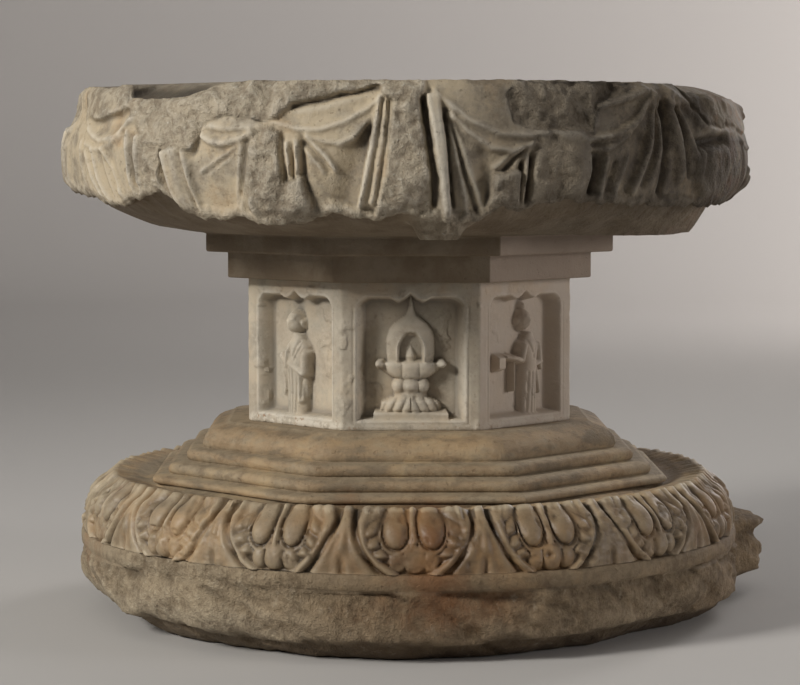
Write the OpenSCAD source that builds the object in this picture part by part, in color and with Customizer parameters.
// Carved stone pedestal for a seated image, in three stacked stones: a round lotus base with
// octagonal mouldings, an octagonal waist with figure niches, and a round draped seat.
// Millimetres, +Z up, front towards -Y, origin on the axis at the ground. Angles are in degrees
// round the axis from the front, positive towards +X.

/* [Rough foot] */
// Largest radius of the rough-hewn foot
foot_r = 326; // [280:1:400]
// Height of the rough-hewn foot
foot_h = 66; // [50:1:90]
// Mean radius of the bearing face on the ground
bearing_r = 292; // [240:1:320]
// Radius of the plain band above the foot
band_r = 329; // [290:1:400]
// Height of the plain band
band_h = 16; // [10:1:30]
// How far the broken lug stands out beyond the foot
lug_reach = 52; // [0:1:80]
// Direction of the broken lug
lug_angle = 104; // [90:1:130]
// Half the angle that the lug spans
lug_half_angle = 15; // [8:1:25]

/* [Lotus leaves] */
// Number of leaves round the ring
leaf_count = 16; // [8:1:20]
// Radius of the leaf ring at its foot
leaf_r = 326; // [290:1:400]
// Radius at which the leaves turn over on to the top of the ring
leaf_top_r = 297; // [275:1:380]
// Height of the leaf ring
leaf_h = 52; // [40:1:80]
// How far each lobe of a leaf swells
lobe_swell = 7; // [0:0.5:9]
// Depth of the groove between leaves
leaf_groove = 10; // [0:0.5:12]

/* [Octagonal mouldings] */
// Width across the flats of the lowest thin step
step_across = 498; // [470:1:520]
// Height of the lowest thin step
step_h = 8; // [4:0.5:16]
// Width across the flats of the second step
second_across = 469; // [450:1:490]
// Height of the second step
second_h = 12; // [6:0.5:20]
// Width across the flats of the third step
third_across = 434; // [420:1:448]
// Height of the third step
third_h = 12; // [6:0.5:20]
// Width across the flats of the rounded step
ovolo_across = 404; // [380:1:418]
// Height of the rounded step
ovolo_h = 16; // [10:0.5:24]
// Width across the flats of the fillet under the waist
fillet_across = 356; // [300:1:420]
// Height of the fillet under the waist
fillet_h = 8; // [4:0.5:14]

/* [Octagonal waist] */
// Width across the flats of the waist
waist_across = 314; // [262:1:377]
// Height of the waist
waist_h = 140; // [110:1:170]
// Width of the pilaster strip beside each niche
pilaster_w = 13.5; // [8:0.5:20]
// Height of the lintel above each niche
lintel_h = 15; // [8:0.5:25]
// Height of the sill below each niche
sill_h = 9; // [5:0.5:15]
// Depth of the niches
niche_depth = 16; // [10:0.5:22]
// Height of the niche relief, from sill to the tip of the shrine
relief_h = 110; // [90:1:125]

/* [Cornice] */
// Width across the flats of the lower cornice step
cornice_across = 352; // [320:1:380]
// Height of the lower cornice step
cornice_h = 25.5; // [15:0.5:35]
// Width across the flats of the upper cornice step
crown_across = 393; // [385:1:420]
// Height of the upper cornice step
crown_h = 18; // [10:0.5:25]

/* [Draped seat] */
// Largest radius of the draped seat
seat_r = 347; // [330:1:420]
// Radius at the top edge of the drapery
rim_r = 330; // [315:1:400]
// Radius at the hem
hem_r = 332; // [315:1:400]
// Height from the crown of the cornice to the seat's flat top
seat_h = 140; // [117:1:168]
// Height of the drapery, from the seat's top to the hem at the front
drape_h = 122; // [100:1:125]
// Radius of the seat's flat top bed
bed_r = 298; // [250:1:310]
// Number of gathered folds round the drapery
gather_count = 8; // [4:1:12]
// How far the gathered folds stand out
gather_out = 12; // [0:0.5:14]
// Depth of the pleats that fan from each gather
pleat_depth = 7; // [0:0.5:9]
// How far the swags stand out
swag_out = 7; // [0:0.5:9]

/* [Hidden] */

columns = 128;      // stations round each carved shell
flat_turn = 22.5;   // turns an octagon so that a flat faces the front
shoulder_h = 16;    // rise of the cusped niche head above its springing
carve_room = 8;     // how far the ground of the drapery lies inside the seat's outline
foot_ragged = 6;    // unevenness of the rough-hewn foot
foot_draft = 12;    // how far the foot draws in from top to bottom

band_z = foot_h;
leaf_z = band_z + band_h;
ring_z = leaf_z + leaf_h;
second_z = ring_z + step_h;
third_z = second_z + second_h;
ovolo_z = third_z + third_h;
fillet_z = ovolo_z + ovolo_h;
waist_z = fillet_z + fillet_h;
cornice_z = waist_z + waist_h;
crown_z = cornice_z + cornice_h;
seat_z = crown_z + crown_h;
top_z = seat_z + seat_h;

waist_side = waist_across * tan(flat_turn);
niche_w = waist_side - 2 * pilaster_w;
niche_h = waist_h - lintel_h - sill_h;

// ---- helpers ----

function smooth(x) = let (c = min(1, max(0, x))) c * c * (3 - 2 * c);
function bump(x) = exp(-x * x);
// Angle between two directions, from -180 to 180
function between(a, b) = ((a - b + 540) % 360) - 180;
// A repeatable number from -0.5 to 0.5 for each station
function rough(i, k) = let (s = sin(i * 77.13 + k * 151.7) * 437.58) s - floor(s) - 0.5;
// Distance from the nearest of count directions, 0 on it and 1 midway to the next
function share(a, count) =
    let (pitch = 360 / count) abs(((a + pitch / 2) % pitch) - pitch / 2) / (pitch / 2);

// A closed solid of revolution whose rows [[r, z] for each column] run from the top down
module carved_shell(rows) {
    last = len(rows) - 1;
    points = concat(
        [for (row = rows) for (i = [0:columns - 1])
            let (a = i * 360 / columns) [row[i][0] * sin(a), -row[i][0] * cos(a), row[i][1]]],
        [[0, 0, rows[0][0][1]], [0, 0, rows[last][0][1]]]
    );
    top = (last + 1) * columns;
    faces = concat(
        [for (k = [0:last - 1]) for (i = [0:columns - 1])
            let (j = (i + 1) % columns, p = k * columns, q = p + columns)
            each [[p + i, p + j, q + j], [p + i, q + j, q + i]]],
        [for (i = [0:columns - 1]) [top, (i + 1) % columns, i]],
        [for (i = [0:columns - 1]) let (q = last * columns) [top + 1, q + i, q + (i + 1) % columns]]
    );
    polyhedron(points = points, faces = faces, convexity = 8);
}

// A stack of octagonal sections [[across flats, z], ...] from the bottom up
module octagonal(sections) {
    last = len(sections) - 1;
    points = [for (s = sections) for (i = [0:7])
        let (r = s[0] / 2 / cos(flat_turn), a = flat_turn + i * 45) [r * cos(a), r * sin(a), s[1]]];
    faces = concat(
        [[for (i = [0:7]) i]],
        [for (k = [0:last - 1]) for (i = [0:7])
            let (j = (i + 1) % 8, p = k * 8) [p + i, p + i + 8, p + j + 8, p + j]],
        [[for (i = [7:-1:0]) last * 8 + i]]
    );
    polyhedron(points = points, faces = faces, convexity = 4);
}

// ---- lotus base ----

// Swelling of the ring: two egg-shaped lobes on each leaf and a groove between leaves
function leaf_carving(a, h) =
    let (v = share(a, leaf_count))
    lobe_swell * bump((v - 0.4) / 0.22) * bump((h - 0.62) / 0.24)
    - leaf_groove * bump((v - 1) / 0.22) * smooth(1.15 - h)
    - 0.5 * lobe_swell * bump(v / 0.12) * bump((h - 0.5) / 0.3);

function ring_r(h) = leaf_r - (leaf_r - leaf_top_r) * pow(h, 3.2);

function lug(a, z) =
    lug_reach * smooth(1.35 * (1 - abs(between(a, lug_angle)) / lug_half_angle))
    * smooth((z - 6) / 16) * smooth((leaf_z + 8 - z) / 14);

function foot_edge(a, i, k) = 7 * sin(3 * a + 40 * k) + 5 * sin(7 * a) + 7 * rough(i, k);

module lotus_base() {
    leaf_rows = [1, 0.93, 0.8, 0.62, 0.44, 0.26, 0.1, 0];
    foot_rows = [0.97, 0.76, 0.5, 0.24];
    station = [for (i = [0:columns - 1]) i * 360 / columns];
    color("darkkhaki") union() {
        carved_shell(concat(
            [[for (a = station) [leaf_top_r - 20, ring_z]]],
            [for (h = leaf_rows) [for (a = station)
                [ring_r(h) + leaf_carving(a, h) * smooth(6 * (1 - h)) + lug(a, leaf_z + h * leaf_h),
                 leaf_z + h * leaf_h]]],
            [[for (a = station) [band_r + lug(a, leaf_z - 1), leaf_z - 1]]],
            [[for (a = station) [band_r + lug(a, band_z), band_z]]],
            [for (k = [0:3]) [for (i = [0:columns - 1])
                [foot_r + foot_ragged * rough(i, k) - foot_draft * (1 - foot_rows[k])
                    + lug(station[i], foot_rows[k] * foot_h), foot_rows[k] * foot_h]]],
            [[for (i = [0:columns - 1]) [bearing_r + foot_edge(station[i], i, 5), 0]]]
        ));
        octagonal([
            [step_across, ring_z],
            [step_across, second_z],
            [second_across, second_z],
            [second_across, third_z],
            [third_across, third_z],
            [third_across, ovolo_z],
            [ovolo_across, ovolo_z],
            [ovolo_across, ovolo_z + 0.45 * ovolo_h],
            [ovolo_across - 8, ovolo_z + 0.8 * ovolo_h],
            [ovolo_across - 20, fillet_z],
            [fillet_across, fillet_z],
            [fillet_across, waist_z]
        ]);
    }
}

// ---- octagonal waist ----

// Height of the cusped niche head above the sill, at s from 0 in the middle to 1 at the jamb
function niche_head(s) = niche_h - shoulder_h
    + (s > 0.72 ? (shoulder_h - 6) * sqrt(max(0, 1 - pow((s - 0.72) / 0.28, 2)))
        : s > 0.12 ? shoulder_h - 6 + 3 * sin(180 * (s - 0.12) / 0.6)
        : shoulder_h - 6 + 6 * (1 - s / 0.12));

module niche() {
    steps = 16;
    outline = concat(
        [[-niche_w / 2, 0], [niche_w / 2, 0]],
        [for (i = [steps:-1:-steps]) let (s = i / steps) [s * niche_w / 2, niche_head(abs(s))]]
    );
    translate([0, -waist_across / 2 + niche_depth, waist_z + sill_h])
        rotate([90, 0, 0])
            linear_extrude(height = 2 * niche_depth) polygon(outline);
}

// Half-round carving that stands on the niche's back; rows are [half width, height, how far out]
module relief(rows, x = 0) {
    arc = 6;
    root = 2;   // how deep its root runs into the stone
    ring = arc + 3;
    last = len(rows) - 1;
    back = -waist_across / 2 + niche_depth;
    points = [for (row = rows) each concat(
        [[x - row[0], back + root, waist_z + sill_h + row[1]]],
        [for (j = [0:arc]) let (f = 180 * j / arc)
            [x - row[0] * cos(f), back - row[2] * sin(f), waist_z + sill_h + row[1]]],
        [[x + row[0], back + root, waist_z + sill_h + row[1]]]
    )];
    faces = concat(
        [[for (j = [0:ring - 1]) j]],
        [for (k = [0:last - 1]) for (j = [0:ring - 1])
            let (n = (j + 1) % ring, p = k * ring, q = p + ring)
            each [[p + j, q + j, q + n], [p + j, q + n, p + n]]],
        [[for (j = [ring - 1:-1:0]) last * ring + j]]
    );
    polyhedron(points = points, faces = faces, convexity = 6);
}

// Domed reliquary on a lotus stand: block, petal ring, bulb, cup and pointed dome
module shrine() {
    s = relief_h / 110;
    relief([[39, -1, 14], [39, 9 * s, 14], [32, 10 * s, 13], [34, 17 * s, 15], [30, 23 * s, 13],
        [17, 25 * s, 10], [18, 37 * s, 13], [14, 41 * s, 11], [30, 49 * s, 14], [34, 58 * s, 15],
        [26, 60 * s, 14], [26, 78 * s, 15], [20, 92 * s, 12], [9, 102 * s, 7], [2, 110 * s, 3]]);
}

// Robed standing figure: hem, robe, shoulders, neck and head
module figure(x = 0, h = 96) {
    s = h / 96;
    relief([[13, -1, 12], [12, 8 * s, 11], [14, 30 * s, 13], [13, 52 * s, 14], [16, 66 * s, 14],
        [6, 72 * s, 9], [9, 78 * s, 14], [10, 86 * s, 15], [6, 95 * s, 10]], x);
}

module octagonal_waist() {
    color("silver") union() {
        difference() {
            translate([0, 0, waist_z]) rotate([0, 0, flat_turn])
                cylinder(h = waist_h, r = waist_across / 2 / cos(flat_turn), $fn = 8);
            for (face = [0:7]) rotate([0, 0, 45 * face]) niche();
        }
        for (face = [0, 4]) rotate([0, 0, 45 * face]) shrine();
        for (face = [1, 2, 3, 5, 6, 7]) rotate([0, 0, 45 * face]) figure();
    }
}

// ---- draped seat ----

// Drapery: t runs from 0 at the top edge to 1 at the hem, u from 0 at a gather to 1 midway
function gather(u, t) = gather_out * bump(u / (0.16 + 0.2 * t)) * (1 - 0.55 * t);
function pleats(u, t) =
    let (fan = u / (0.3 + 0.7 * t)) pleat_depth * cos(540 * fan) * smooth(1.4 - fan) * smooth(3 * t);
function swag(u, t) =
    let (line = 0.06 + 0.36 * sin(90 * u)) swag_out * bump((t - line) / 0.08) * smooth(4 * u);
function boss(u, t) = 8 * bump((1 - u) / 0.24) * bump((t - 0.62) / 0.16);
function seat_profile(t) = t < 0.54
    ? seat_r - (seat_r - rim_r) * pow((0.54 - t) / 0.54, 1.2)
    : seat_r - (seat_r - hem_r) * pow((t - 0.54) / 0.46, 2);

// Broken places: [direction, height share t, half angle, half height share, depth]
breaks = [
    [-50, 0.42, 9, 0.34, 13],
    [-38, 0.12, 13, 0.2, 11],
    [0, 0.4, 3, 0.5, 9],
    [29, 0.2, 12, 0.26, 11],
    [24, 0.72, 4, 0.3, 9],
    [84, 0.12, 16, 0.2, 12],
    [100, 0.5, 10, 0.3, 12],
    [-22, 0.72, 4, 0.26, 8]
];
function broken(a, t) = max([for (b = breaks)
    b[4] * smooth(1.5 * (1 - pow(between(a, b[0]) / b[2], 2) - pow((t - b[1]) / b[3], 2)))]);

// How far the top edge has broken down at each direction
function rim_chip(a) = 13 * bump(between(a, -48) / 9) + 12 * bump(between(a, 88) / 22);
// Rise of the hem above its front height: the ends, a notch, and a long break right of the front
function hem_rise(a, i) =
    let (d = between(a, 29))
    19 * pow(sin(a), 2) + 6 * rough(i, 3) + 18 * bump(between(a, -41) / 4)
    + 13 * smooth((d + 19) / 4) * smooth((26 - d) / 14);
// Lumps of stone left hanging under the seat, one in front and one at the right
function lump(a) = 30 * bump(between(a, 4) / 4) + 22 * bump(between(a, 68) / 15);

module draped_seat() {
    drape_rows = [0, 0.08, 0.18, 0.28, 0.38, 0.48, 0.6, 0.72, 0.84, 0.94];
    station = [for (i = [0:columns - 1]) i * 360 / columns];
    hem_z = top_z - drape_h;
    color("burlywood") union() {
        carved_shell(concat(
            [[for (a = station) [bed_r, top_z]]],
            [for (t = drape_rows) [for (i = [0:columns - 1])
                let (a = station[i], u = share(a, gather_count), rise = hem_rise(a, i) * t,
                     carving = gather(u, t) + pleats(u, t) + swag(u, t) + boss(u, t),
                     chip = rim_chip(a) * (t == 0 ? 1 : 0.5 * smooth(1 - 6 * t)))
                [seat_profile(t) + min(0, carving - carve_room) - broken(a, t),
                 top_z - drape_h * t + rise - chip]]],
            [[for (i = [0:columns - 1]) let (a = station[i])
                [hem_r - carve_room / 2 - broken(a, 1), hem_z + hem_rise(a, i)]]],
            [[for (i = [0:columns - 1]) let (a = station[i])
                [hem_r - 19, hem_z + hem_rise(a, i) + 3 - 0.5 * lump(a)]]],
            [[for (a = station) [hem_r - 50, seat_z + 17 - lump(a)]]],
            [[for (a = station) [hem_r - 84, seat_z + 7 - 0.6 * lump(a)]]],
            [[for (a = station) [crown_across / 2 + 21, seat_z]]]
        ));
        octagonal([
            [cornice_across, cornice_z],
            [cornice_across, crown_z],
            [crown_across, crown_z],
            [crown_across, seat_z]
        ]);
    }
}

lotus_base();
octagonal_waist();
draped_seat();
